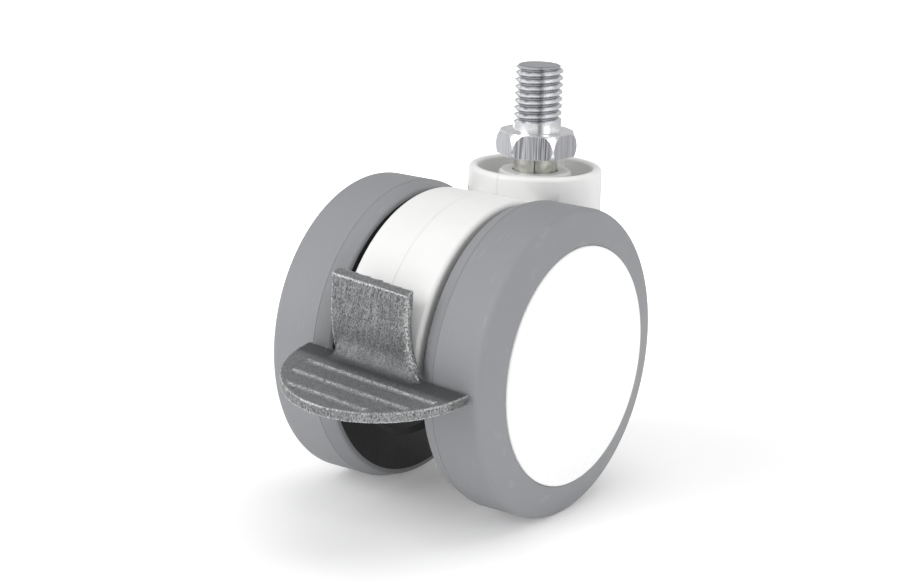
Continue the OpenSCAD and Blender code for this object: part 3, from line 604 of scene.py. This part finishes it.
# Brake bar and springs
# The cast bar with its locking teeth, the coil that pushes it back and the leaf that
# holds the pedal at either end of its travel. All three sit under the hood.
dress("brake_bar", casting)
dress("detent_spring", temper)
# The coil moves with the housing, on a mesh of its own.
coil = show("coil_spring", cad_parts["brake_spring"].data.copy())
close_up(coil.data, temper, 35)
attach(coil, "housing_body")
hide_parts("brake_spring")
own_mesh(coil)

# Floor and light
# A plain white floor under the wheels and large soft lights on both sides and above.
floor_level = axle_middle.z - WHEEL_R * MM
paper, tree, shader, place = new_material("white_paper", Roughness=0.9, Emission_Color="#ffffff")
cloud = add_node(tree, "ShaderNodeTexNoise", Vector=place, Scale=4.0)
tone = add_node(tree, "ShaderNodeMix", cloud, "#ffffff", "#fdfdfd", data_type="RGBA")
give(tree, shader, Base_Color=tone)
# The paper is lit from below away from the castor, so that it stays white to the horizon.
apart = add_node(tree, "ShaderNodeVectorMath", place, tuple(axle_middle), operation="DISTANCE")
apart = apart.outputs["Value"]
glow = add_node(tree, "ShaderNodeMapRange", apart, 0.08, 0.32, 0.16, 0.75, interpolation_type="SMOOTHSTEP")
give(tree, shader, Emission_Strength=glow)
corners = [(x, y, floor_level) for x, y in ((-4, -4), (4, -4), (4, 4), (-4, 4))]
floor_mesh = bpy.data.meshes.new("floor")
floor_mesh.from_pydata(corners, [], [(0, 1, 2, 3)])
floor_mesh.materials.append(paper)
show("floor", floor_mesh)
# Grey paper seen only as reflections in the bright metal: a pale sheet lying round the
# front, and a dark strip arched over the set, which gives the stem its dark band.
STRIPES = 48
ARCH_R = 0.35
ahead = Vector((math.sin(turn), -math.cos(turn), 0))
lying, arched = [], []
for k in range(STRIPES + 1):
    t = math.radians(-192 + 300 * k / STRIPES)
    for far in (0.2, 1.3):
        lying.append((far * math.cos(t), axle_middle.y + far * math.sin(t), floor_level + 0.001))
    t = math.radians(-13.8 + 125 * k / STRIPES)
    over = (ahead * math.cos(t) + upwards * math.sin(t)) * ARCH_R
    narrower = ARCH_R * (1 - 0.75 * k / STRIPES)
    arched += [tuple(over + level * lean * narrower) for lean in (0.04, 0.42)]
for name, shade, spots in (("pale_sheet", "#d2d2d2", lying), ("dark_strip", "#6c6c6c", arched)):
    paper_grey, tree, shader, place = new_material("grey_paper", Roughness=0.9)
    weave = add_node(tree, "ShaderNodeTexNoise", Vector=place, Scale=40.0, Detail=2.0)
    paler = add_node(tree, "ShaderNodeMath", weave, 0.1, operation="MULTIPLY")
    tone = add_node(tree, "ShaderNodeMix", paler, shade, "#ffffff", data_type="RGBA")
    give(tree, shader, Base_Color=tone)
    sheet_mesh = bpy.data.meshes.new(name)
    sheet_mesh.from_pydata(spots, [], [(2 * k, 2 * k + 1, 2 * k + 3, 2 * k + 2) for k in range(STRIPES)])
    sheet_mesh.materials.append(paper_grey)
    sheet = show(name, sheet_mesh)
    sheet.visible_camera = False
    sheet.visible_diffuse = False
    sheet.visible_shadow = False


def softbox(name, spot, width, depth, power):
    lamp = bpy.data.lights.new(name, "AREA")
    lamp.shape = "RECTANGLE"
    lamp.size = width
    lamp.size_y = depth
    lamp.energy = power
    box = show(name, lamp)
    box.location = spot
    box.rotation_euler = (axle_middle - Vector(spot)).to_track_quat("-Z", "Y").to_euler()
    return box


softbox("left_box", (-0.5, -0.85, 0.5), 0.6, 0.9, 5.0)
softbox("right_box", (1.0, -0.15, 0.3), 0.5, 0.9, 1.8)
softbox("top_box", (0.1, 0.1, 0.95), 0.8, 0.8, 2.7).visible_glossy = False
world = bpy.data.worlds.new("studio")
world.use_nodes = True
world.node_tree.nodes["Background"].inputs["Color"].default_value = linear("#ffffff")
world.node_tree.nodes["Background"].inputs["Strength"].default_value = 0.59
bpy.context.scene.world = world
bpy.context.scene.view_settings.view_transform = "Standard"
